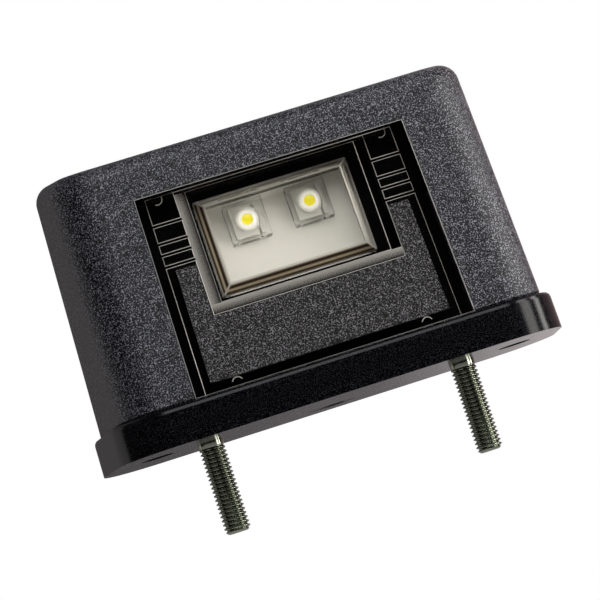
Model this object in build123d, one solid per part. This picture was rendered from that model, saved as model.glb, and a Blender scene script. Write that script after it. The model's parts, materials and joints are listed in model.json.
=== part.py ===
from build123d import *
import math
import os

# LED number plate lamp. Millimetres.
# The origin is midway between the two studs, on the plane of the flange's underside.
# +Z points up into the hood, +X runs along the flange and -Y is the side of the lens.

# Flanged base
base_half_length = 44.45
base_width = 39.8
base_height = 7.1
base_corner_radius = 12.0
base_draft_deg = 1.5
base_edge_radius = 1.0
base_edge_steps = 3
base_floor_top = 3.6
spigot_height = 2.5
spigot_thickness = 1.5
spigot_clearance = 0.15

# Hood
hood_top = 53.77
hood_wall = 2.2
face_lean_deg = 7.0
front_margin = 1.64
face_height = 8.0
rear_margin = 1.7
rear_draft_deg = 2.5
flange_margin = 2.05
side_splay_deg = 7.1
side_draft_deg = 1.6
hood_corner_radius = 8.4
top_edge_radius = 3.7
seam_chamfer = 0.35

# Lens
lens_top_half = 26.07
lens_bottom_half = 26.8
lens_top = 37.9
lens_plate = 2.5
lens_edge_chamfer = 0.2
lens_side_wall = 2.1
lens_clearance = 0.1
lens_bottom_gap = 0.1
tube_half = 16.49
tube_bottom = 15.34
tube_top = 37.3
tube_side_wall = 1.98
tube_bottom_wall = 1.8
tube_top_wall = 0.5
tube_end_gap = 0.2
rib_heights = (24.6, 26.9, 29.1, 32.6)
rib_thickness = 0.5
rib_depth = 3.0

# Recess of the hood behind the lens
groove_depth = 7.0
groove_floor = 1.8
panel_gap = 0.1
panel_top_half = 22.6
panel_bottom_half = 23.1
panel_top = 23.6
panel_bottom = 1.6
bay_depth = 9.0
bay_floor = 2.0
bay_wall = 1.8
bay_clearance = 0.2

# Bevelled inner window
window_half = 15.1
window_bottom = 17.4
window_top = 36.4
window_rise = 2.4
window_bevel_drop = 1.4
window_bevel_width = 1.7
window_wall = 1.2
window_foot_width = 1.3
window_foot_thickness = 1.0
window_clearance = 0.1

# LED board
board_margin = 2.2
board_height = 27.0
board_thickness = 1.6
board_pad_half = 1.8
board_pad_gap = 0.2
board_screw_radius = 1.1
board_screw_length = 4.0
board_screw_head_radius = 2.0
board_screw_head_height = 1.5
screw_clearance = 0.05

# LEDs
led_spacing = 12.3
led_height_on_face = 30.5
led_side = 7.6
led_body_height = 2.4
led_dome_radius = 2.5
led_dome_height = 1.4
led_round_sides = 16
led_dome_steps = 3
led_dome_flat_deg = 8.0
dome_foot = 0.2
frame_level = 1.1
frame_thickness = 0.4
frame_length = 6.2
frame_half_width = 2.9
leg_spacing = 5.08
leg_width = 0.5
leg_depth = 0.7
leg_clearance = 0.05
leg_tail = 1.2
cathode_reach = 1.6
anode_width = 0.9
cup_radius = 1.6
cup_height = 0.8
cup_mouth_radius = 0.9
cup_floor_radius = 0.6
cup_depth = 0.6

# Parts on the back of the board
resistor_size = (5.0, 2.5, 0.6)
resistor_spacing = 16.0
diode_size = (4.3, 2.6, 2.1)
small_parts_drop = 9.5
terminal_side = 1.1
terminal_spacing = 5.0
terminal_length = 5.0
terminal_rise = 12.0

# Studs
stud_spacing = 50.0
stud_length = 17.6
stud_radius = 2.5
stud_chamfer = 0.7
stud_head_flats = 8.0
stud_head_height = 3.2
stud_boss_radius = 6.5
stud_shank_radius = 2.3
thread_reach = 0.05
stud_clearance = 0.05

# Screws that hold the hood on the base
post_inset = 7.1
post_y = -2.0
post_radius = 3.5
counterbore_radius = 3.15
counterbore_depth = 4.0
hood_screw_radius = 1.45
hood_screw_length = 12.0
hood_screw_head_radius = 2.7
hood_screw_head_height = 2.0
screw_boss_radius = 4.6
pilot_extra = 1.0
recess_across = 2.0
recess_width = 0.6
recess_depth = 0.7

# Cable inlet
inlet_y = 7.0
inlet_radius = 4.5
grommet_bore = 2.6
grommet_lip_radius = 5.6
grommet_lip_height = 1.2

# Derived values
lean = math.radians(face_lean_deg)
lean_tan = math.tan(lean)
side_half_width = base_half_length - flange_margin
face_front = base_width / 2 - front_margin
rear_back = base_width / 2 - rear_margin
splay_tan = math.tan(math.radians(side_splay_deg))
draft_tan = math.tan(math.radians(side_draft_deg))
rear_tan = math.tan(math.radians(rear_draft_deg))
side_slant = math.sqrt(1 + splay_tan**2 + draft_tan**2)
roof_front = -face_front + (hood_top - face_height) * lean_tan
post_x = side_half_width - post_inset
lens_taper = (lens_bottom_half - lens_top_half) / lens_top
lens_low = -groove_depth
bed_back = groove_depth + groove_floor
bed_rear = -face_front + (base_height - face_height) * lean_tan + bed_back / math.cos(lean)
bed_half = lens_bottom_half + lens_clearance + bay_wall
bay_half = tube_half + tube_side_wall + bay_clearance
bay_low = tube_bottom - tube_bottom_wall - bay_clearance
bay_back = bay_depth + bay_floor
window_front = bay_depth - window_rise
window_middle = (window_bottom + window_top) / 2
board_screw_x = window_half + window_foot_width + board_pad_gap + board_pad_half
board_half = board_screw_x + board_margin
board_hole_radius = board_screw_radius + screw_clearance
board_front = bay_back + window_foot_thickness
board_back = board_front + board_thickness
frame_depth = board_front - frame_level
sides = {"left": -1, "right": 1}
face_plane = Plane(
    origin=(0, -face_front, face_height), x_dir=(1, 0, 0), z_dir=(0, -math.cos(lean), math.sin(lean))
)


def on_face(x, up, depth):
    """Place on the sloping front: x across, up along the slope, depth behind the surface."""
    return face_plane * Pos(x, up, -depth)


def face_prism(outline, front, back):
    """Prism of an outline on the sloping front, between two depths behind it."""
    return extrude(on_face(0, 0, back) * outline, amount=back - front)


def face_box(half, bottom, top, front, back, x=0.0):
    """Box square to the sloping front, from two heights and two depths."""
    return on_face(x, (bottom + top) / 2, (front + back) / 2) * Box(2 * half, top - bottom, back - front)


def face_pin(radius, x, up, front, back):
    """Round pin square to the sloping front."""
    return on_face(x, up, (front + back) / 2) * Cylinder(radius, back - front)


def upright(radius, x, y, bottom, top):
    """Round upright post."""
    return Pos(x, y, (bottom + top) / 2) * Cylinder(radius, top - bottom)


def trapezoid(bottom_half, top_half, bottom, top):
    """Symmetric outline with a level bottom and top edge."""
    points = [(-bottom_half, bottom), (bottom_half, bottom), (top_half, top), (-top_half, top)]
    return Polygon(*points, align=None)


def lens_outline(grow, top):
    """Outline of the lens down to below the base's top, grown sideways."""
    low_half = lens_top_half + lens_taper * (lens_top - lens_low) + grow
    return trapezoid(low_half, lens_top_half + grow, lens_low, top)


def hood_section(inset, z):
    """The four corners of the hood at height z, with every face moved in by inset."""
    front = -face_front + (z - face_height) * lean_tan + inset / math.cos(lean)
    back = rear_back - (z - base_height) * rear_tan - inset * math.sqrt(1 + rear_tan**2)
    half = side_half_width - (z - base_height) * draft_tan - inset * side_slant
    front_half = half + splay_tan * front
    back_half = half + splay_tan * back
    return [(-front_half, front, z), (front_half, front, z), (back_half, back, z), (-back_half, back, z)]


def roof_section(inset):
    """The four corners of the hood's roof, which is square to the sloping front, moved in by inset."""
    corners = []
    for low, high in zip(hood_section(inset, base_height), hood_section(inset, hood_top)):
        rise = hood_top - inset / math.cos(lean) + (low[1] - roof_front) * lean_tan - low[2]
        share = rise / (high[2] - low[2] - (high[1] - low[1]) * lean_tan)
        corners.append(tuple(a + share * (b - a) for a, b in zip(low, high)))
    return corners


def block_between(inset, lower, upper):
    """Block between two sections of the hood, with corners rounded in step with the outside."""
    walls = [[lower[i], lower[i - 1], upper[i - 1], upper[i]] for i in range(len(lower))]
    faces = [Face(Wire.make_polygon(corners)) for corners in [lower, upper] + walls]
    return fillet(upright_edges(Solid(Shell(faces))), hood_corner_radius - inset)


def hood_block(inset, bottom, top):
    """Level-topped block inside the hood's outer faces."""
    return block_between(inset, hood_section(inset, bottom), hood_section(inset, top))


def roofed_block(inset):
    """Block inside the hood's outer faces, from the base up to the roof."""
    return block_between(inset, hood_section(inset, base_height), roof_section(inset))


def upright_edges(block):
    """The corner edges of a hood block."""
    return block.edges().filter_by(lambda edge: abs(edge.tangent_at(0.5).Z) > 0.7)


def hood():
    """Grained outer moulding with lens recess, LED bay and screw posts."""
    outer = hood_outside()
    body = outer - roofed_block(hood_wall) + (lens_bed() & outer)
    recess = face_prism(lens_outline(lens_clearance, lens_top + lens_clearance), 0, groove_depth)
    panel_outline = trapezoid(panel_bottom_half, panel_top_half, panel_bottom, panel_top)
    recess -= face_prism(panel_outline, lens_plate + panel_gap, groove_depth)
    body -= recess
    body -= face_box(bay_half, bay_low, lens_top + lens_clearance, 0, bay_depth)
    gap = window_clearance
    body -= face_box(window_half + gap, window_bottom - gap, window_top + gap, bay_depth, bay_back)
    hole_front = board_back - board_screw_length - screw_clearance
    pilot_depth = hood_screw_length - (base_height - counterbore_depth) + pilot_extra
    for side in sides.values():
        hole_x = side * board_screw_x
        body -= face_pin(board_hole_radius, hole_x, window_middle, hole_front, board_front)
        body += upright(post_radius, side * post_x, post_y, base_height, hood_top) & outer
        pilot_radius = hood_screw_radius + screw_clearance
        body -= upright(pilot_radius, side * post_x, post_y, base_height, base_height + pilot_depth)
    return body


def hood_outside():
    """Solid block with the hood's rounded outside."""
    block = roofed_block(0)
    block = fillet(block.faces().sort_by(Axis.Z)[-1].edges(), top_edge_radius)
    return chamfer(block.faces().sort_by(Axis.Z)[0].edges(), seam_chamfer)


def lens_bed():
    """Block behind the lens, with the LED bay's walls and the pads of the board."""
    bed_top = lens_top + lens_clearance + bay_wall
    bed = face_prism(lens_outline(lens_clearance + bay_wall, bed_top), 0, bed_back)
    bed += face_box(bay_half + bay_wall, bay_low - bay_wall, bed_top, 0, bay_back)
    pad_low = window_middle - board_pad_half
    pad_high = window_middle + board_pad_half
    for side in sides.values():
        bed += face_box(board_pad_half, pad_low, pad_high, bay_back, board_front, side * board_screw_x)
    return bed


def base():
    """Flanged base: flat underside, tray with bosses, spigot, screw holes and cable inlet."""
    body = flange()
    wall = hood_wall + spigot_clearance
    spigot_top = base_height + spigot_height
    spigot = hood_block(wall, base_height, spigot_top)
    spigot -= hood_block(wall + spigot_thickness, base_height, spigot_top)
    tray = hood_block(wall + spigot_thickness, base_floor_top, base_height)
    bed = lens_room(spigot_top)
    spigot -= bed
    tray -= bed
    for side in sides.values():
        spigot -= upright(post_radius + spigot_clearance, side * post_x, post_y, base_height, spigot_top)
        tray -= upright(stud_boss_radius, side * stud_spacing / 2, 0, base_floor_top, base_height)
        tray -= upright(screw_boss_radius, side * post_x, post_y, base_floor_top, base_height)
    body += spigot
    body -= tray
    for side in sides.values():
        body -= stud_hole(side * stud_spacing / 2)
        body -= screw_hole(side * post_x)
    return body - upright(inlet_radius, 0, inlet_y, 0, base_height)


def flange():
    """Drafted flange with its top edge rounded off in straight steps."""
    rim = base_height - base_edge_radius
    draft = rim * math.tan(math.radians(base_draft_deg))
    sections = [base_outline(0, 0)]
    for step in range(base_edge_steps + 1):
        turn = math.pi / 2 * step / base_edge_steps
        inset = draft + base_edge_radius * (1 - math.cos(turn))
        sections.append(base_outline(inset, rim + base_edge_radius * math.sin(turn)))
    return loft(sections, ruled=True)


def base_outline(inset, z):
    """Rounded outline of the flange at height z, moved in by inset, its ends splayed like the hood."""
    edge = base_width / 2 - inset
    half = base_half_length - inset * math.sqrt(1 + splay_tan**2)
    outline = trapezoid(half - splay_tan * edge, half + splay_tan * edge, -edge, edge)
    return Pos(0, 0, z) * fillet(outline.vertices(), base_corner_radius - inset)


def lens_room(top):
    """Room of the lens and its bed above the base, kept free of the spigot and left solid in the tray."""
    front = -base_width / 2
    depth = bed_rear + spigot_clearance - front
    room = Box(2 * (bed_half + spigot_clearance), depth, top)
    return Pos(0, front + depth / 2, top / 2) * room


def stud_hole(x):
    """Round hole and hexagon pocket of one stud."""
    hexagon = RegularPolygon(stud_head_flats / 2 + stud_clearance, 6, major_radius=False)
    pocket = extrude(Pos(x, 0, base_floor_top) * hexagon, amount=base_height)
    return pocket + upright(stud_radius + stud_clearance, x, 0, 0, base_height)


def screw_hole(x):
    """Counterbored hole of one hood screw."""
    shank = upright(hood_screw_radius + screw_clearance, x, post_y, 0, base_height)
    return shank + upright(counterbore_radius, x, post_y, 0, counterbore_depth)


def lens():
    """Clear lens: plate, side walls, light tube and ribs."""
    plate = face_prism(lens_outline(0, lens_top), 0, lens_plate)
    body = chamfer(plate.faces().sort_by(Axis.Y)[0].edges(), lens_edge_chamfer)
    walls = face_prism(lens_outline(0, lens_top), lens_plate, groove_depth)
    body += walls - face_prism(lens_outline(-lens_side_wall, lens_top), lens_plate, groove_depth)
    tube_back = bay_depth - tube_end_gap
    tube_outside = tube_half + tube_side_wall
    tube_low = tube_bottom - tube_bottom_wall
    tube = face_box(tube_outside, tube_low, tube_top + tube_top_wall, lens_plate, tube_back)
    tube -= face_box(tube_half, tube_bottom, tube_top, lens_plate, tube_back)
    rib_half = (lens_top_half - lens_side_wall / 2 - tube_outside) / 2
    for up in rib_heights:
        for side in sides.values():
            rib_x = side * (tube_outside + rib_half)
            low = up - rib_thickness / 2
            body += face_box(rib_half, low, low + rib_thickness, lens_plate, lens_plate + rib_depth, rib_x)
    body += tube
    return split(body, Plane.XY.offset(base_height + lens_bottom_gap), keep=Keep.TOP)


def inner_window():
    """Clear cap over the LEDs: bevelled front, side walls and a foot ring."""
    width = 2 * window_half
    height = window_top - window_bottom
    bevel = 2 * window_bevel_width
    front = on_face(0, window_middle, window_front) * Rectangle(width - bevel, height - bevel)
    shoulder = window_front + window_bevel_drop
    body = loft([front, on_face(0, window_middle, shoulder) * Rectangle(width, height)])
    body += face_box(window_half, window_bottom, window_top, shoulder, bay_back)
    foot = window_foot_width
    body += face_box(window_half + foot, window_bottom - foot, window_top + foot, bay_back, board_front)
    wall = window_wall
    inside = face_box(
        window_half - wall, window_bottom + wall, window_top - wall, window_front + wall, board_front
    )
    return body - inside


def led_board():
    """White circuit board with slots for the LED legs and holes for pins and screws."""
    bottom = window_middle - board_height / 2
    body = face_box(board_half, bottom, bottom + board_height, board_front, board_back)
    for side in sides.values():
        led_x = side * led_spacing / 2
        body -= led_legs(led_x, -1, leg_clearance) + led_legs(led_x, 1, leg_clearance)
        hole_x = side * board_screw_x
        body -= face_pin(board_hole_radius, hole_x, window_middle, board_front, board_back)
        body -= terminal(side)
    return body


def led_legs(led_x, edge, gap):
    """The two legs on one edge of an LED, grown by a gap."""
    leg_x = led_x + edge * leg_spacing / 2
    legs = Part()
    for row in sides.values():
        up = led_height_on_face + row * leg_spacing / 2
        half = leg_depth / 2 + gap
        legs += face_box(leg_width / 2 + gap, up - half, up + half, frame_depth, board_back + leg_tail, leg_x)
    return legs


def frame_bar(led_x, left, right):
    """Flat bar of the lead frame between two offsets from the LED's middle."""
    bottom = led_height_on_face - frame_length / 2
    middle = led_x + (left + right) / 2
    half = (right - left) / 2
    return face_box(half, bottom, bottom + frame_length, frame_depth - frame_thickness, frame_depth, middle)


def led_cathode(led_x):
    """Lead frame half that carries the chip cup."""
    cup_back = frame_depth - frame_thickness
    body = frame_bar(led_x, -frame_half_width, cathode_reach) + led_legs(led_x, -1, 0)
    cup = RegularPolygon(cup_radius, led_round_sides)
    body += extrude(on_face(led_x, led_height_on_face, cup_back) * cup, amount=cup_height)
    return body - led_phosphor(led_x)


def led_anode(led_x):
    """Lead frame half without the cup."""
    return frame_bar(led_x, frame_half_width - anode_width, frame_half_width) + led_legs(led_x, 1, 0)


def led_phosphor(led_x):
    """Yellow filling of the chip cup, wider at its mouth."""
    mouth = frame_depth - frame_thickness - cup_height
    wide = RegularPolygon(cup_mouth_radius, led_round_sides)
    narrow = RegularPolygon(cup_floor_radius, led_round_sides)
    floor = on_face(led_x, led_height_on_face, mouth + cup_depth) * narrow
    return loft([floor, on_face(led_x, led_height_on_face, mouth) * wide])


def led_body(led_x):
    """Clear resin body with a dome, moulded round the lead frame."""
    top = board_front - led_body_height
    half = led_side / 2
    low = led_height_on_face - half
    body = face_box(half, low, low + led_side, top, board_front, led_x)
    body += on_face(led_x, led_height_on_face, top) * led_dome()
    return body - led_cathode(led_x) - led_anode(led_x) - led_phosphor(led_x)


def led_dome():
    """Faceted dome with a small flat tip, which begins inside the resin body."""
    ball_radius = (led_dome_radius**2 + led_dome_height**2) / (2 * led_dome_height)
    start = math.acos(led_dome_radius / ball_radius)
    end = math.pi / 2 - math.radians(led_dome_flat_deg)
    turn = (end - start) / led_dome_steps
    dome = extrude(RegularPolygon(led_dome_radius, led_round_sides), amount=-dome_foot)
    for step in range(led_dome_steps):
        low = start + step * turn
        rise = ball_radius * (math.sin(low + turn) - math.sin(low))
        run = ball_radius * (math.cos(low) - math.cos(low + turn))
        top = dome.faces().sort_by(Axis.Z)[-1]
        dome += extrude(top, amount=rise, taper=math.degrees(math.atan2(run, rise)))
    return dome


def board_screw(side):
    """Small pan-head screw through the board into the hood."""
    x = side * board_screw_x
    head_back = board_back + board_screw_head_height
    body = face_pin(board_screw_head_radius, x, window_middle, board_back, head_back)
    body += face_pin(board_screw_radius, x, window_middle, board_back - board_screw_length, board_back)
    cross = cross_recess()
    return body - on_face(x, window_middle, head_back - recess_depth / 2) * cross


def cross_recess():
    """Cross-shaped driver recess."""
    bar = Box(recess_across, recess_width, recess_depth)
    return bar + Rot(0, 0, 90) * bar


def small_block(size, x):
    """Flat component on the back of the board."""
    width, height, thickness = size
    low = window_middle - small_parts_drop - height / 2
    return face_box(width / 2, low, low + height, board_back, board_back + thickness, x)


def terminal(side):
    """Pin for one core of the cable."""
    x = side * terminal_spacing / 2
    half = terminal_side / 2
    up = window_middle + terminal_rise
    return face_box(half, up - half, up + half, board_front, board_back + terminal_length, x)


def stud(side):
    """Stud with a captive hexagon head, a thinner shank in the base and a chamfered threaded end."""
    body = upright(stud_radius, 0, 0, -stud_length, thread_reach)
    body = chamfer(body.edges().sort_by(Axis.Z)[0], stud_chamfer)
    body += upright(stud_shank_radius, 0, 0, thread_reach, base_floor_top)
    hexagon = RegularPolygon(stud_head_flats / 2, 6, major_radius=False)
    body += extrude(Pos(0, 0, base_floor_top) * hexagon, amount=stud_head_height)
    return Pos(side * stud_spacing / 2, 0, 0) * body


def hood_screw(side):
    """Pan-head screw in the base's counterbore, threaded into the hood's post."""
    x = side * post_x
    head_low = counterbore_depth - hood_screw_head_height
    body = upright(hood_screw_head_radius, x, post_y, head_low, counterbore_depth)
    body += upright(hood_screw_radius, x, post_y, counterbore_depth, counterbore_depth + hood_screw_length)
    return body - Pos(x, post_y, head_low + recess_depth / 2) * cross_recess()


def cable_grommet():
    """Rubber bush with a lip inside the base, pushed into the cable inlet."""
    high = base_floor_top + grommet_lip_height
    body = upright(inlet_radius, 0, inlet_y, 0, high)
    body += upright(grommet_lip_radius, 0, inlet_y, base_floor_top, high)
    return body - upright(grommet_bore, 0, inlet_y, 0, high)


def nodes():
    """Every node by name."""
    made = {
        "hood": hood(),
        "base": base(),
        "lens": lens(),
        "inner_window": inner_window(),
        "led_board": led_board(),
        "cable_grommet": cable_grommet(),
        "diode": small_block(diode_size, 0),
    }
    for name, side in sides.items():
        led_x = side * led_spacing / 2
        made[f"led_{name}_body"] = led_body(led_x)
        made[f"led_{name}_cathode"] = led_cathode(led_x)
        made[f"led_{name}_anode"] = led_anode(led_x)
        made[f"led_{name}_phosphor"] = led_phosphor(led_x)
        made[f"stud_{name}"] = stud(side)
        made[f"hood_screw_{name}"] = hood_screw(side)
        made[f"board_screw_{name}"] = board_screw(side)
        made[f"resistor_{name}"] = small_block(resistor_size, side * resistor_spacing / 2)
        made[f"terminal_{name}"] = terminal(side)
    return made


os.makedirs("parts", exist_ok=True)
for node, part in nodes().items():
    export_step(part, f"parts/{node}.step")
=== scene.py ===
import json
import math

import bmesh
import bpy
from mathutils import Matrix, Vector

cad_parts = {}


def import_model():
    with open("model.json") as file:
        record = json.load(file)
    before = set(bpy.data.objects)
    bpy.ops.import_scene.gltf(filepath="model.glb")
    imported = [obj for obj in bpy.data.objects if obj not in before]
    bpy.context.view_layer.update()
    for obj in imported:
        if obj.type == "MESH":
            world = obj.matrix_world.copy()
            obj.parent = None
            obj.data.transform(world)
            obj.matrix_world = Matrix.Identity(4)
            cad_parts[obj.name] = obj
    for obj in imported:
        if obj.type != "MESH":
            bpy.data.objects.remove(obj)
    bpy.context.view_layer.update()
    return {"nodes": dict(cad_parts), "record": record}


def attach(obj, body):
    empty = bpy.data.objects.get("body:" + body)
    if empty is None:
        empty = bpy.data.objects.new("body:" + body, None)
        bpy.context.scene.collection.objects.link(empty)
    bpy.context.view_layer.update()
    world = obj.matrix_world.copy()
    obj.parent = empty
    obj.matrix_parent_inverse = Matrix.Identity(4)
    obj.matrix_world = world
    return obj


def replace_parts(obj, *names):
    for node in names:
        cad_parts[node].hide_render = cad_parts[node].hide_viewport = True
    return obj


MM = 0.001

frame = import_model()
nodes = frame["nodes"]

# Studs, in millimetres like every size of the part
STUD_X = 25.0
STUD_RADIUS = 2.5
STUD_TOP = 3.6
STUD_COLLAR_END = -0.9
STUD_COLLAR_RADIUS = 2.42
STUD_TIP = -17.6
STUD_HEAD_TOP = 6.8
STUD_HEAD_FLATS = 8.0
STUD_TIP_EDGE = 1.85
STUD_TIP_RADIUS = 1.75
THREAD_PITCH = 0.8
THREAD_DEPTH = 0.49
# Shares of half the pitch that are flat root and flank, and rings to each pitch
THREAD_ROOT = 0.12
THREAD_FLANK = 0.7
THREAD_RINGS = 10

# Sloping front, with the lens and its light tube
FACE_LEAN = math.radians(7.0)
FACE_FRONT = 18.26
FACE_HEIGHT = 8.0
LENS_BACK = 2.5
LENS_MIRROR = 0.04
LENS_ROUGHNESS = 0.02
TUBE_SIDES = (16.49, 18.47)
TUBE_FOOT = (13.54, 15.34)
TUBE_TOP = 37.3
EJECTOR_RADIUS = 1.1
EJECTOR_WIDTH = 0.2
EJECTOR_RISE = 0.08
EJECTOR_SWEEP = 140.0
# Middle across and up, and the way each arc bulges in degrees
EJECTOR_MARKS = ((-18.3, 0.3, 90.0), (18.3, 0.3, 90.0), (-21.8, 37.4, -50.0), (21.8, 37.4, -50.0))
# Space between a thin piece and the solid that it lies on
HAIR_GAP = 0.02

# LEDs and the painted white glow round them
LED_X = 6.15
LED_UP = 30.5
LED_SIDE = 7.6
LED_BACK = 12.0
LED_FRONT = 9.6
DOME_RADIUS = 2.5
DOME_HEIGHT = 1.4
HALO_DEPTH = 9.64
HALO_RADIUS = 2.4
HALO_CORE = 1.2
HALO_HOLE = 0.92

# Moulded edges of the clear pieces: their width, and the depth behind which edges stay sharp
LENS_EDGE = (0.1, 3.0)
WINDOW_EDGE = (0.22, 20.0)
WELD_DISTANCE = 0.001
FLAT_ANGLE = math.radians(1.0)
SHARP_ANGLE = math.radians(20.0)
# Bevels of the window that carry painted reflection bands: front and foot, angles to the front, and most turn
# to the right or up
BEVEL_DEPTHS = (6.6, 8.0)
BEVEL_LEANS = (math.radians(25.0), math.radians(65.0))
BEVEL_TURN = 0.3
# Shares of the way down the bevels, and colours of the painted reflection bands
BEVEL_REFLECTION_BANDS = (
    (0.0, (0.5, 0.43, 0.33)),
    (0.16, (0.5, 0.43, 0.33)),
    (0.24, (0.05, 0.035, 0.022)),
    (0.42, (0.06, 0.042, 0.026)),
    (0.52, (0.72, 0.58, 0.38)),
    (0.64, (0.78, 0.66, 0.48)),
    (0.74, (0.12, 0.085, 0.05)),
    (1.0, (0.05, 0.035, 0.022)),
)
# The two boxes of the recess where shade is painted: middle across, up and deep, then half sizes across, deep
# and up
RECESS_SHADE_BOXES = (
    ((0.0, 18.8, 8.6), (28.0, 5.4, 19.9)),
    ((0.0, 31.3, 7.1), (28.0, 6.8, 7.6)),
)

# Camera, with angles in degrees and places in millimetres
CAMERA_TURN = -8.271
CAMERA_RISE = -5.306
CAMERA_ROLL = -18.097
CAMERA_AIM = (-0.603, 0.0, 20.352)
CAMERA_DISTANCE = 500.085
CAMERA_LENS = 159.39

# Studio, in metres: the floor, how pale the camera sees it, and what the lamps aim at
FLOOR_HALF = 4.0
FLOOR_LEVEL = -0.5
FLOOR_GLOW = 0.3
LAMP_AIM = (0, 0, 0.025)
# Distances between directions: white inside the first, and no longer outside the second
WHITE_CONE = (0.08, 0.1)
# How far back a direction points where the world's light starts and ends its rise, and its level in front
PANEL_START = (0.24, 0.3)
FRONT_LEVEL = 0.03
# Light behind the part from its left to its right, as shares of the way and colours
BACK_PANELS = (
    (0.0, (0.9, 0.87, 0.86)),
    (0.12, (0.5, 0.47, 0.47)),
    (0.33, (0.16, 0.148, 0.15)),
    (0.53, (0.07, 0.065, 0.068)),
    (0.58, (0.15, 0.135, 0.14)),
    (0.6, (0.42, 0.38, 0.385)),
    (0.62, (0.85, 0.77, 0.78)),
    (0.75, (0.35, 0.26, 0.27)),
    (1.0, (0.3, 0.2, 0.21)),
)


def on_face(x, up, depth):
    """Point on the sloping front: x across, up along the slope, depth behind the surface."""
    y = -FACE_FRONT + up * math.sin(FACE_LEAN) + depth * math.cos(FACE_LEAN)
    z = FACE_HEIGHT + up * math.cos(FACE_LEAN) - depth * math.sin(FACE_LEAN)
    return (x, y, z)


def face_place(point):
    """Place of a point in metres as x, up and depth on the sloping front, in millimetres."""
    y = point.y / MM + FACE_FRONT
    z = point.z / MM - FACE_HEIGHT
    up = y * math.sin(FACE_LEAN) + z * math.cos(FACE_LEAN)
    depth = y * math.cos(FACE_LEAN) - z * math.sin(FACE_LEAN)
    return point.x / MM, up, depth


def socket(node, name, value):
    """Set a node's own value."""
    node.inputs[name].default_value = value


def material(slot_name, color, roughness, **sockets):
    """Plain principled material; other sockets are named with underscores for spaces."""
    mat = bpy.data.materials.new("look_" + slot_name)
    mat.use_nodes = True
    shader = mat.node_tree.nodes["Principled BSDF"]
    socket(shader, "Base Color", (*color, 1.0))
    socket(shader, "Roughness", roughness)
    for name, value in sockets.items():
        socket(shader, name.replace("_", " "), value)
    return mat


def node_maker(owner):
    """Node tree of a material or a world, and a function that adds nodes to it."""
    tree = owner.node_tree

    def make(kind, **settings):
        made = tree.nodes.new(kind)
        for name, value in settings.items():
            setattr(made, name, value)
        return made

    return tree, make


def combine(tree, make, operation, first, second):
    """Result of a math node on two sockets."""
    made = make("ShaderNodeMath", operation=operation)
    tree.links.new(first, made.inputs[0])
    tree.links.new(second, made.inputs[1])
    return made.outputs["Value"]


def map_range(make, start, end, first, last):
    """Node that runs from a first value to a last one between two inputs."""
    ramp = make("ShaderNodeMapRange")
    for name, value in (("From Min", start), ("From Max", end), ("To Min", first), ("To Max", last)):
        socket(ramp, name, value)
    return ramp


def color_ramp(make, stops):
    """Colour ramp from shares of its length and colours."""
    ramp = make("ShaderNodeValToRGB")
    elements = ramp.color_ramp.elements
    for element, (position, color) in zip(elements, (stops[0], stops[-1])):
        element.position = position
        element.color = (*color, 1.0)
    for position, color in stops[1:-1]:
        elements.new(position).color = (*color, 1.0)
    return ramp


def run_between(tree, make, start, end, first, last):
    """Socket that runs from one value to another between two places on the front."""
    near = Vector(on_face(*start)) * MM
    far = Vector(on_face(*end)) * MM
    way = (far - near).normalized()
    place = make("ShaderNodeTexCoord")
    reach = make("ShaderNodeVectorMath", operation="DOT_PRODUCT")
    reach.inputs[1].default_value = way
    ramp = map_range(make, near.dot(way), far.dot(way), first, last)
    tree.links.new(place.outputs["Object"], reach.inputs[0])
    tree.links.new(reach.outputs["Value"], ramp.inputs["Value"])
    return ramp.outputs["Result"]


def noise(tree, make, scale):
    """Noise in the part's own coordinates."""
    place = make("ShaderNodeTexCoord")
    tex = make("ShaderNodeTexNoise")
    socket(tex, "Scale", scale)
    tree.links.new(place.outputs["Object"], tex.inputs["Vector"])
    return tex


def grain(mat, scale, strength, distance):
    """Fine moulded grain as bump."""
    tree, make = node_maker(mat)
    tex = noise(tree, make, scale)
    bump = make("ShaderNodeBump")
    socket(bump, "Strength", strength)
    socket(bump, "Distance", distance)
    tree.links.new(tex.outputs["Fac"], bump.inputs["Height"])
    tree.links.new(bump.outputs["Normal"], tree.nodes["Principled BSDF"].inputs["Normal"])
    return mat


def speckle(mat, scale, dark, light, low, high):
    """Base colour that varies between two tones with fine noise."""
    tree, make = node_maker(mat)
    tex = noise(tree, make, scale)
    ramp = color_ramp(make, ((low, dark), (high, light)))
    tree.links.new(tex.outputs["Fac"], ramp.inputs["Fac"])
    tree.links.new(ramp.outputs["Color"], tree.nodes["Principled BSDF"].inputs["Base Color"])
    return mat


def outside_box(tree, make, middle, half):
    """1 outside a box that leans with the front, 0 inside it."""
    place = make("ShaderNodeTexCoord")
    box = make("ShaderNodeMapping", vector_type="TEXTURE")
    socket(box, "Location", Vector(on_face(*middle)) * MM)
    socket(box, "Rotation", (-FACE_LEAN, 0.0, 0.0))
    socket(box, "Scale", Vector(half) * MM)
    away = make("ShaderNodeVectorMath", operation="ABSOLUTE")
    split = make("ShaderNodeSeparateXYZ")
    outside = make("ShaderNodeMath", operation="GREATER_THAN")
    outside.inputs[1].default_value = 1.0
    tree.links.new(place.outputs["Object"], box.inputs["Vector"])
    tree.links.new(box.outputs["Vector"], away.inputs[0])
    tree.links.new(away.outputs["Vector"], split.inputs["Vector"])
    wide = combine(tree, make, "MAXIMUM", split.outputs["X"], split.outputs["Y"])
    most = combine(tree, make, "MAXIMUM", wide, split.outputs["Z"])
    tree.links.new(most, outside.inputs[0])
    return outside.outputs["Value"]


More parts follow.
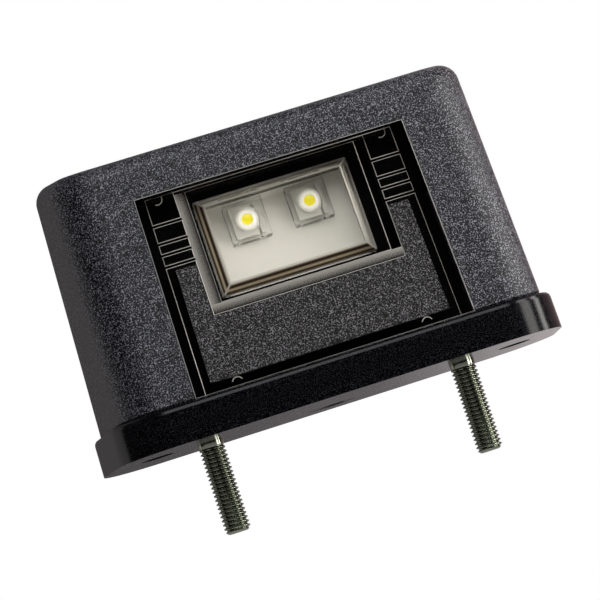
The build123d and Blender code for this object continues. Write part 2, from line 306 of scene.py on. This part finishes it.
def paint_recess_shade(mat, color, gloss):
    """Painted shade in the recess behind the lens: a plain dark colour with no gloss there, the grain and its
    gloss outside it.
    """
    tree, make = node_maker(mat)
    shader = tree.nodes["Principled BSDF"]
    outside_shade = combine(tree, make, "MULTIPLY", *(outside_box(tree, make, *box) for box in RECESS_SHADE_BOXES))
    shine = make("ShaderNodeMath", operation="MULTIPLY")
    shine.inputs[1].default_value = gloss
    mix = make("ShaderNodeMix", data_type="RGBA")
    mix.inputs[6].default_value = (*color, 1.0)
    tree.links.new(outside_shade, mix.inputs["Factor"])
    tree.links.new(shader.inputs["Base Color"].links[0].from_socket, mix.inputs[7])
    tree.links.new(mix.outputs[2], shader.inputs["Base Color"])
    socket(shader, "Specular IOR Level", gloss)
    tree.links.new(outside_shade, shine.inputs[0])
    tree.links.new(shine.outputs["Value"], shader.inputs["Specular IOR Level"])
    return mat


def clear(slot_name, color, ior):
    """Clear plastic that lets the lamps shine through to what is behind it."""
    mat = material(slot_name, color, 0.0, Transmission_Weight=1.0, IOR=ior)
    tree, make = node_maker(mat)
    path = make("ShaderNodeLightPath")
    through = make("ShaderNodeBsdfTransparent")
    mix = make("ShaderNodeMixShader")
    tree.links.new(path.outputs["Is Shadow Ray"], mix.inputs["Fac"])
    tree.links.new(tree.nodes["Principled BSDF"].outputs["BSDF"], mix.inputs[1])
    tree.links.new(through.outputs["BSDF"], mix.inputs[2])
    tree.links.new(mix.outputs["Shader"], tree.nodes["Material Output"].inputs["Surface"])
    return mat


def thin_clear(slot_name, color):
    """Clear plastic that mirrors a little and does not bend what is seen through it."""
    mat = bpy.data.materials.new("look_" + slot_name)
    mat.use_nodes = True
    tree, make = node_maker(mat)
    tree.nodes.remove(tree.nodes["Principled BSDF"])
    path = make("ShaderNodeLightPath")
    through = make("ShaderNodeBsdfTransparent")
    socket(through, "Color", (*color, 1.0))
    mirror = make("ShaderNodeBsdfGlossy")
    socket(mirror, "Roughness", LENS_ROUGHNESS)
    seen = make("ShaderNodeMixShader")
    socket(seen, "Fac", LENS_MIRROR)
    lit = make("ShaderNodeBsdfTransparent")
    mix = make("ShaderNodeMixShader")
    tree.links.new(through.outputs["BSDF"], seen.inputs[1])
    tree.links.new(mirror.outputs["BSDF"], seen.inputs[2])
    tree.links.new(path.outputs["Is Shadow Ray"], mix.inputs["Fac"])
    tree.links.new(seen.outputs["Shader"], mix.inputs[1])
    tree.links.new(lit.outputs["BSDF"], mix.inputs[2])
    tree.links.new(mix.outputs["Shader"], tree.nodes["Material Output"].inputs["Surface"])
    return mat


def paint_reflection_bands(slot_name, roughness, bands):
    """Painted reflections: colour in bands from the front of the window's bevels to their foot."""
    mat = material(slot_name, bands[0][1], roughness)
    tree, make = node_maker(mat)
    top, foot = BEVEL_DEPTHS
    share = run_between(tree, make, (0, 0, top), (0, 0, foot), 0.0, 1.0)
    tones = color_ramp(make, bands)
    tree.links.new(share, tones.inputs["Fac"])
    tree.links.new(tones.outputs["Color"], tree.nodes["Principled BSDF"].inputs["Base Color"])
    return mat


def fade(mat, shader, share):
    """Mix a shader with nothing at all, by a socket that runs from 0 to 1."""
    tree, make = node_maker(mat)
    nothing = make("ShaderNodeBsdfTransparent")
    mix = make("ShaderNodeMixShader")
    tree.links.new(share, mix.inputs["Fac"])
    tree.links.new(nothing.outputs["BSDF"], mix.inputs[1])
    tree.links.new(shader.outputs["BSDF"], mix.inputs[2])
    tree.links.new(mix.outputs["Shader"], tree.nodes["Material Output"].inputs["Surface"])
    return mat


def painted_light(start, end, most):
    """Painted light: pale colour that fades from one point on the front to another, given as x, up and depth.
    """
    mat = material("tube_painted_light", (0.8, 0.77, 0.71), 0.5)
    tree, make = node_maker(mat)
    share = run_between(tree, make, start, end, most, 0.0)
    return fade(mat, tree.nodes["Principled BSDF"], share)


def painted_glow(x, color):
    """Painted glow: white that fades outwards round the middle of an LED."""
    mat = material("led_painted_glow", color, 0.6, Emission_Color=(*color, 1.0), Emission_Strength=0.4)
    tree, make = node_maker(mat)
    place = make("ShaderNodeTexCoord")
    away = make("ShaderNodeVectorMath", operation="DISTANCE")
    away.inputs[1].default_value = Vector(on_face(x, LED_UP, HALO_DEPTH)) * MM
    ramp = map_range(make, HALO_CORE * MM, HALO_RADIUS * MM, 1.0, 0.0)
    tree.links.new(place.outputs["Object"], away.inputs[0])
    tree.links.new(away.outputs["Value"], ramp.inputs["Value"])
    return fade(mat, tree.nodes["Principled BSDF"], ramp.outputs["Result"])


def looks():
    """One material per slot of the record."""
    made = {}
    hood = material("hood_plastic", (0.02, 0.02, 0.022), 0.34)
    grain(hood, 3800.0, 1.0, 0.0001)
    # The light speckle is partly the grain's own tone and partly painted glints standing in for the grain's
    # sparkle.
    speckle(hood, 4300.0, (0.0005, 0.0005, 0.001), (0.28, 0.28, 0.32), 0.54, 0.62)
    # Painted shade: the recess behind the lens is coloured near black and loses its gloss.
    made["hood_plastic"] = paint_recess_shade(hood, (0.003, 0.003, 0.003), 0.28)
    base = material("base_plastic", (0.003, 0.003, 0.0035), 0.15, Specular_IOR_Level=0.2)
    grain(base, 5500.0, 0.15, 0.00005)
    made["base_plastic"] = speckle(base, 5500.0, (0.0005, 0.0005, 0.0008), (0.028, 0.028, 0.033), 0.5, 0.7)
    made["lens_clear"] = thin_clear("lens_clear", (1.0, 0.99, 0.97))
    made["window_clear"] = clear("window_clear", (1.0, 0.985, 0.95), 1.5)
    made["led_resin"] = clear("led_resin", (1.0, 1.0, 0.99), 1.5)
    made["board_white"] = material("board_white", (0.92, 0.92, 0.89), 0.5)
    made["lead_frame"] = material("lead_frame", (0.86, 0.86, 0.83), 0.6)
    # Painted glow: the phosphor gives off a little yellow light of its own.
    glow = {"Emission_Color": (1.0, 0.85, 0.02, 1.0), "Emission_Strength": 0.4}
    made["phosphor"] = material("phosphor", (0.95, 0.85, 0.02), 0.6, **glow)
    made["stud_zinc"] = material("stud_zinc", (0.24, 0.255, 0.205), 0.12, Metallic=1.0)
    made["screw_steel"] = material("screw_steel", (0.7, 0.7, 0.68), 0.3, Metallic=1.0)
    made["grommet_rubber"] = material("grommet_rubber", (0.015, 0.015, 0.015), 0.6)
    made["resistor_body"] = material("resistor_body", (0.03, 0.03, 0.03), 0.4)
    made["diode_body"] = material("diode_body", (0.02, 0.02, 0.02), 0.45)
    made["terminal_brass"] = material("terminal_brass", (0.8, 0.65, 0.36), 0.3, Metallic=1.0)
    return made


def dress(made):
    """Give every node the material of its slot."""
    for part in frame["record"]["subparts"]:
        mesh = nodes[part["node"]].data
        mesh.materials.clear()
        mesh.materials.append(made[part["material_slot"]])


def mesh_object(name, verts, faces, mat, smooth_deg=None):
    """New piece from points in millimetres."""
    mesh = bpy.data.meshes.new(name)
    mesh.from_pydata([Vector(v) * MM for v in verts], [], faces)
    mesh.materials.append(mat)
    obj = bpy.data.objects.new(name, mesh)
    bpy.context.scene.collection.objects.link(obj)
    if smooth_deg is not None:
        mesh.shade_smooth()
        mesh.set_sharp_from_angle(angle=math.radians(smooth_deg))
    return obj


def free_piece(name, shape, faces, mat):
    """New piece from some faces of a shape."""
    mesh = bpy.data.meshes.new(name)
    part = shape.copy()
    part.faces.ensure_lookup_table()
    others = [face for face in part.faces if face.index not in faces]
    bmesh.ops.delete(part, geom=others, context="FACES")
    part.to_mesh(mesh)
    part.free()
    if "custom_normal" in mesh.attributes:
        mesh.attributes.remove(mesh.attributes["custom_normal"])
    mesh.materials.clear()
    mesh.materials.append(mat)
    obj = bpy.data.objects.new(name, mesh)
    bpy.context.scene.collection.objects.link(obj)
    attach(obj, "root")
    return obj


def slopes(face):
    """True for the window's left and lower bevels, which lean away from the front."""
    front = Vector(on_face(0, 0, -1)) - Vector(on_face(0, 0, 0))
    least, most = BEVEL_LEANS
    leans = least < face.normal.angle(front) < most
    return leans and face.normal.z < BEVEL_TURN and face.normal.x < BEVEL_TURN


def round_edges(node, slot_name, width, deepest, mat, edge_highlight_mat, bevel_reflection_mat=None):
    """Clear node with flat faces; its narrow moulded edges and its bevels become pieces of their own, the
    edges with a painted highlight and the bevels, when given, with painted reflections.
    """
    shape = bmesh.new()
    shape.from_mesh(nodes[node].data)
    bmesh.ops.remove_doubles(shape, verts=shape.verts, dist=WELD_DISTANCE * MM)
    bmesh.ops.dissolve_limit(shape, angle_limit=FLAT_ANGLE, verts=shape.verts, edges=shape.edges)
    sharp = [edge for edge in shape.edges if edge.calc_face_angle() > SHARP_ANGLE]
    sharp = [edge for edge in sharp if max(face_place(vert.co)[2] for vert in edge.verts) < deepest]
    rounded = bmesh.ops.bevel(shape, geom=sharp, offset=width * MM, segments=1, profile=0.5, affect="EDGES")
    for face in shape.faces:
        face.smooth = False
    shape.faces.index_update()
    narrow = {face.index for face in rounded["faces"]}
    wide = {face.index for face in shape.faces} - narrow
    if bevel_reflection_mat:
        bevels = {face.index for face in shape.faces if face.index in wide and slopes(face)}
        free_piece("bevels_" + node, shape, bevels, bevel_reflection_mat)
        wide -= bevels
    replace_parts(free_piece("rounded_" + node, shape, wide, mat), node)
    free_piece("edges_" + node, shape, narrow, edge_highlight_mat)
    shape.free()


def thread_radius(turn):
    """Radius of the thread flank at a share of the pitch, crest at 0 and root at one half."""
    share = abs((turn % 1.0) - 0.5) * 2.0
    flank = min(max((share - THREAD_ROOT) / THREAD_FLANK, 0.0), 1.0)
    return STUD_RADIUS - THREAD_DEPTH * (1.0 - flank)


def stud_rings():
    """Heights and plain radii down the stud; None marks the threaded stretch."""
    rings = [(height, STUD_COLLAR_RADIUS) for height in (STUD_TOP, 0.0, STUD_COLLAR_END)]
    step = THREAD_PITCH / THREAD_RINGS
    count = int((STUD_COLLAR_END - STUD_TIP) / step)
    rings += [(STUD_COLLAR_END - step * i, None) for i in range(1, count)]
    return rings


def stud(name, x, mat):
    """Stud with a helical thread, plain collar and captive hexagon head."""
    around = 40
    verts = []
    faces = []
    rings = stud_rings()
    for z, plain in rings:
        for i in range(around):
            angle = 2 * math.pi * i / around
            radius = plain
            if plain is None:
                radius = thread_radius(z / THREAD_PITCH + i / around)
                start = min((STUD_COLLAR_END - z) / THREAD_PITCH, 1.0)
                radius = STUD_COLLAR_RADIUS + (radius - STUD_COLLAR_RADIUS) * start
                radius = min(radius, STUD_TIP_EDGE + (z - STUD_TIP))
            verts.append((x + radius * math.cos(angle), radius * math.sin(angle), z))
    for ring in range(len(rings) - 1):
        for i in range(around):
            a = ring * around + i
            b = ring * around + (i + 1) % around
            faces.append((a, a + around, b + around, b))
    last = len(verts)
    for i in range(around):
        angle = 2 * math.pi * i / around
        verts.append((x + STUD_TIP_RADIUS * math.cos(angle), STUD_TIP_RADIUS * math.sin(angle), STUD_TIP))
    for i in range(around):
        a = last - around + i
        b = last - around + (i + 1) % around
        faces.append((a, a + around, b + around, b))
    faces.append(tuple(range(last, last + around))[::-1])
    faces.append(tuple(range(around)))
    head = len(verts)
    corner = STUD_HEAD_FLATS / math.sqrt(3)
    for z in (STUD_TOP, STUD_HEAD_TOP):
        for i in range(6):
            angle = math.pi / 3 * i
            verts.append((x + corner * math.cos(angle), corner * math.sin(angle), z))
    faces.append(tuple(range(head, head + 6))[::-1])
    faces.append(tuple(range(head + 6, head + 12)))
    for i in range(6):
        j = (i + 1) % 6
        faces.append((head + i, head + j, head + 6 + j, head + 6 + i))
    obj = mesh_object("threaded_" + name, verts, faces, mat, smooth_deg=40.0)
    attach(obj, "root")
    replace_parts(obj, name)


def led_body(name, x, mat):
    """Clear resin body with a smooth dome, a hair's breadth in front of the board."""
    around = 48
    rings = 10
    half = LED_SIDE / 2
    ball = (DOME_RADIUS**2 + DOME_HEIGHT**2) / (2 * DOME_HEIGHT)
    start = math.asin(DOME_RADIUS / ball)
    verts = []
    faces = []
    for depth in (LED_BACK - HAIR_GAP, LED_FRONT):
        for side, row in ((-1, -1), (1, -1), (1, 1), (-1, 1)):
            verts.append(on_face(x + side * half, LED_UP + row * half, depth))
    faces += [(3, 2, 1, 0)] + [(i, (i + 1) % 4, 4 + (i + 1) % 4, 4 + i) for i in range(4)]
    first = len(verts)
    for ring in range(rings):
        turn = start * (1 - ring / rings)
        radius = ball * math.sin(turn)
        depth = LED_FRONT - DOME_HEIGHT + ball * (1 - math.cos(turn))
        for i in range(around):
            angle = 2 * math.pi * (i + 0.5) / around - 0.75 * math.pi
            verts.append(on_face(x + radius * math.cos(angle), LED_UP + radius * math.sin(angle), depth))
    for ring in range(rings - 1):
        for i in range(around):
            a = first + ring * around + i
            b = first + ring * around + (i + 1) % around
            faces.append((a, b, b + around, a + around))
    tip = len(verts)
    verts.append(on_face(x, LED_UP, LED_FRONT - DOME_HEIGHT))
    last = first + (rings - 1) * around
    faces += [(last + i, last + (i + 1) % around, tip) for i in range(around)]
    quarter = around // 4
    for corner in range(4):
        nearest = [first + (corner * quarter + i - 1) % around for i in range(quarter + 1)]
        faces.append((4 + corner, 4 + (corner + 1) % 4, nearest[-1], *nearest[-2::-1]))
    obj = mesh_object("clear_" + name, verts, faces, mat, smooth_deg=30.0)
    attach(obj, "root")
    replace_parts(obj, name)


def led_painted_glow(name, x, mat):
    """Ring of painted white glow round the phosphor, inside the clear body."""
    around = 48
    verts = []
    for radius in (HALO_HOLE, HALO_RADIUS):
        for i in range(around):
            angle = 2 * math.pi * i / around
            verts.append(on_face(x + radius * math.cos(angle), LED_UP + radius * math.sin(angle), HALO_DEPTH))
    faces = [(i, (i + 1) % around, around + (i + 1) % around, around + i) for i in range(around)]
    obj = mesh_object("painted_glow_" + name, verts, faces, mat)
    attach(obj, "root")


def painted_light_strip(name, x_range, up_range, mat):
    """Painted light carried in a wall of the light tube, shown where the wall meets the back of the lens."""
    depth = LENS_BACK + HAIR_GAP
    corners = [(x, up) for up in up_range for x in x_range]
    verts = [on_face(x, up, depth) for x, up in corners]
    obj = mesh_object("painted_light_" + name, verts, [(0, 1, 3, 2)], mat)
    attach(obj, "root")


def ejector_mark(number, x, up, facing, mat):
    """Faint arc left by an ejector pin behind the lens."""
    steps = 20
    outline = [(EJECTOR_RADIUS, 0.0), (EJECTOR_RADIUS, EJECTOR_RISE), (EJECTOR_RADIUS - EJECTOR_WIDTH, 0.0)]
    verts = []
    faces = []
    for radius, rise in outline:
        for i in range(steps):
            angle = math.radians(facing + EJECTOR_SWEEP * (i / (steps - 1) - 0.5))
            depth = LENS_BACK + HAIR_GAP + rise
            verts.append(on_face(x + radius * math.cos(angle), up + radius * math.sin(angle), depth))
    for ring in range(3):
        for i in range(steps - 1):
            a = ring * steps + i
            b = (ring + 1) % 3 * steps + i
            faces.append((a, a + 1, b + 1, b))
    obj = mesh_object("ejector_mark_" + str(number), verts, faces, mat, smooth_deg=30.0)
    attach(obj, "root")


def area_lamp(name, place, target, size, energy, color):
    """Soft rectangular lamp that points at a target."""
    light = bpy.data.lights.new(name, "AREA")
    light.shape = "RECTANGLE"
    light.size, light.size_y = size
    light.energy = energy
    light.color = color
    obj = bpy.data.objects.new(name, light)
    obj.location = place
    obj.rotation_euler = (Vector(target) - Vector(place)).to_track_quat("-Z", "Y").to_euler()
    bpy.context.scene.collection.objects.link(obj)


def camera_back():
    """Direction from the part to the camera."""
    turn = math.radians(CAMERA_TURN)
    rise = math.radians(CAMERA_RISE)
    return Vector((math.sin(turn) * math.cos(rise), -math.cos(turn) * math.cos(rise), math.sin(rise)))


def world():
    """White behind the part, for the camera and for what gloss and glass show of it.

    The light on the part is dim in front, with soft panels behind.
    """
    made = bpy.data.worlds.new("studio")
    bpy.context.scene.world = made
    made.use_nodes = True
    tree, make = node_maker(made)
    seen = tree.nodes["Background"]
    socket(seen, "Color", (1.0, 1.0, 1.0, 1.0))
    place = make("ShaderNodeTexCoord")
    split = make("ShaderNodeSeparateXYZ")
    tree.links.new(place.outputs["Generated"], split.inputs["Vector"])
    across = map_range(make, -1.0, 1.0, 0.0, 1.0)
    tree.links.new(split.outputs["X"], across.inputs["Value"])
    panels = color_ramp(make, BACK_PANELS)
    tree.links.new(across.outputs["Result"], panels.inputs["Fac"])
    level = map_range(make, *PANEL_START, FRONT_LEVEL, 1.0)
    tree.links.new(split.outputs["Y"], level.inputs["Value"])
    light = make("ShaderNodeBackground")
    tree.links.new(panels.outputs["Color"], light.inputs["Color"])
    tree.links.new(level.outputs["Result"], light.inputs["Strength"])
    aside = make("ShaderNodeVectorMath", operation="DISTANCE")
    aside.inputs[1].default_value = -camera_back()
    tree.links.new(place.outputs["Generated"], aside.inputs[0])
    behind = map_range(make, *WHITE_CONE, 1.0, 0.0)
    tree.links.new(aside.outputs["Value"], behind.inputs["Value"])
    path = make("ShaderNodeLightPath").outputs
    shows = combine(tree, make, "MAXIMUM", path["Is Glossy Ray"], path["Is Transmission Ray"])
    shown = combine(tree, make, "MULTIPLY", shows, behind.outputs["Result"])
    white = combine(tree, make, "MAXIMUM", path["Is Camera Ray"], shown)
    mix = make("ShaderNodeMixShader")
    tree.links.new(white, mix.inputs["Fac"])
    tree.links.new(light.outputs["Background"], mix.inputs[1])
    tree.links.new(seen.outputs["Background"], mix.inputs[2])
    tree.links.new(mix.outputs["Shader"], tree.nodes["World Output"].inputs["Surface"])


def floor():
    """Pale floor well below the part; the camera, gloss and glass see it paler than the lamps make it."""
    mat = material("floor", (0.85, 0.85, 0.85), 0.8, Emission_Color=(1.0, 1.0, 1.0, 1.0))
    tree, make = node_maker(mat)
    path = make("ShaderNodeLightPath").outputs
    shows = combine(tree, make, "MAXIMUM", path["Is Glossy Ray"], path["Is Transmission Ray"])
    seen = combine(tree, make, "MAXIMUM", path["Is Camera Ray"], shows)
    pale = make("ShaderNodeMath", operation="MULTIPLY")
    pale.inputs[1].default_value = FLOOR_GLOW
    tree.links.new(seen, pale.inputs[0])
    tree.links.new(pale.outputs["Value"], tree.nodes["Principled BSDF"].inputs["Emission Strength"])
    corners = ((-1, -1), (1, -1), (1, 1), (-1, 1))
    verts = [(x * FLOOR_HALF / MM, y * FLOOR_HALF / MM, FLOOR_LEVEL / MM) for x, y in corners]
    obj = mesh_object("floor", verts, [(0, 1, 2, 3)], mat)


def camera():
    """The photograph's view."""
    roll = math.radians(CAMERA_ROLL)
    back = camera_back()
    right = Vector((0, 0, 1)).cross(back).normalized()
    up = back.cross(right)
    tilted_right = math.cos(roll) * right + math.sin(roll) * up
    tilted_up = -math.sin(roll) * right + math.cos(roll) * up
    data = bpy.data.cameras.new("camera")
    data.sensor_width = 36.0
    data.lens = CAMERA_LENS
    data.clip_start = 0.01
    obj = bpy.data.objects.new("camera", data)
    place = Matrix((tilted_right, tilted_up, back)).transposed().to_4x4()
    place.translation = Vector(CAMERA_AIM) * MM + back * (CAMERA_DISTANCE * MM)
    obj.matrix_world = place
    bpy.context.scene.collection.objects.link(obj)
    bpy.context.scene.camera = obj


made = looks()
dress(made)
# Painted highlights: pale colour on the narrow moulded edges of the clear lens and window.
lens_edge_highlight = material("lens_edge_highlight", (0.8, 0.78, 0.74), 0.3)
lens_mark = material("lens_mark", (0.42, 0.41, 0.38), 0.3)
window_edge_highlight = material("window_edge_highlight", (0.85, 0.82, 0.75), 0.3)
# Painted reflections on the window's bevels, in pale, dark and gold bands.
window_bevel_reflections = paint_reflection_bands("window_bevel_reflections", 0.12, BEVEL_REFLECTION_BANDS)
round_edges("lens", "lens_clear", *LENS_EDGE, made["lens_clear"], lens_edge_highlight)
round_edges("inner_window", "window_clear", *WINDOW_EDGE, made["window_clear"], window_edge_highlight, window_bevel_reflections)
stud("stud_left", -STUD_X, made["stud_zinc"])
stud("stud_right", STUD_X, made["stud_zinc"])
led_body("led_left_body", -LED_X, made["led_resin"])
led_body("led_right_body", LED_X, made["led_resin"])
# Painted white glow round each LED's phosphor.
led_painted_glow("led_left", -LED_X, painted_glow(-LED_X, (0.95, 0.95, 0.92)))
led_painted_glow("led_right", LED_X, painted_glow(LED_X, (0.95, 0.95, 0.92)))
inner, outer = TUBE_SIDES
low, high = TUBE_FOOT
# Painted light in the foot and left wall of the clear tube, fading across each wall.
foot_painted_light = painted_light((0.0, high, LENS_BACK), (0.0, low, LENS_BACK), 0.5)
side_painted_light = painted_light((-outer, low, LENS_BACK), (-inner, low, LENS_BACK), 0.45)
painted_light_strip("tube_foot", (-outer, outer), TUBE_FOOT, foot_painted_light)
painted_light_strip("tube_left", (-outer, -inner), (high, TUBE_TOP), side_painted_light)
for number, (x, up, facing) in enumerate(EJECTOR_MARKS):
    ejector_mark(number, x, up, facing, lens_mark)
floor()
world()
area_lamp("key", (0.08, -0.6, 0.68), LAMP_AIM, (0.7, 0.7), 5.2, (0.97, 0.985, 1.0))
area_lamp("right_fill", (0.2, -0.12, 0.03), LAMP_AIM, (0.07, 0.3), 0.42, (1.0, 0.98, 0.95))
area_lamp("right_strip", (0.29, -0.03, 0.05), LAMP_AIM, (0.05, 0.3), 0.42, (1.0, 0.98, 0.95))
camera()
bpy.context.scene.view_settings.view_transform = "Standard"
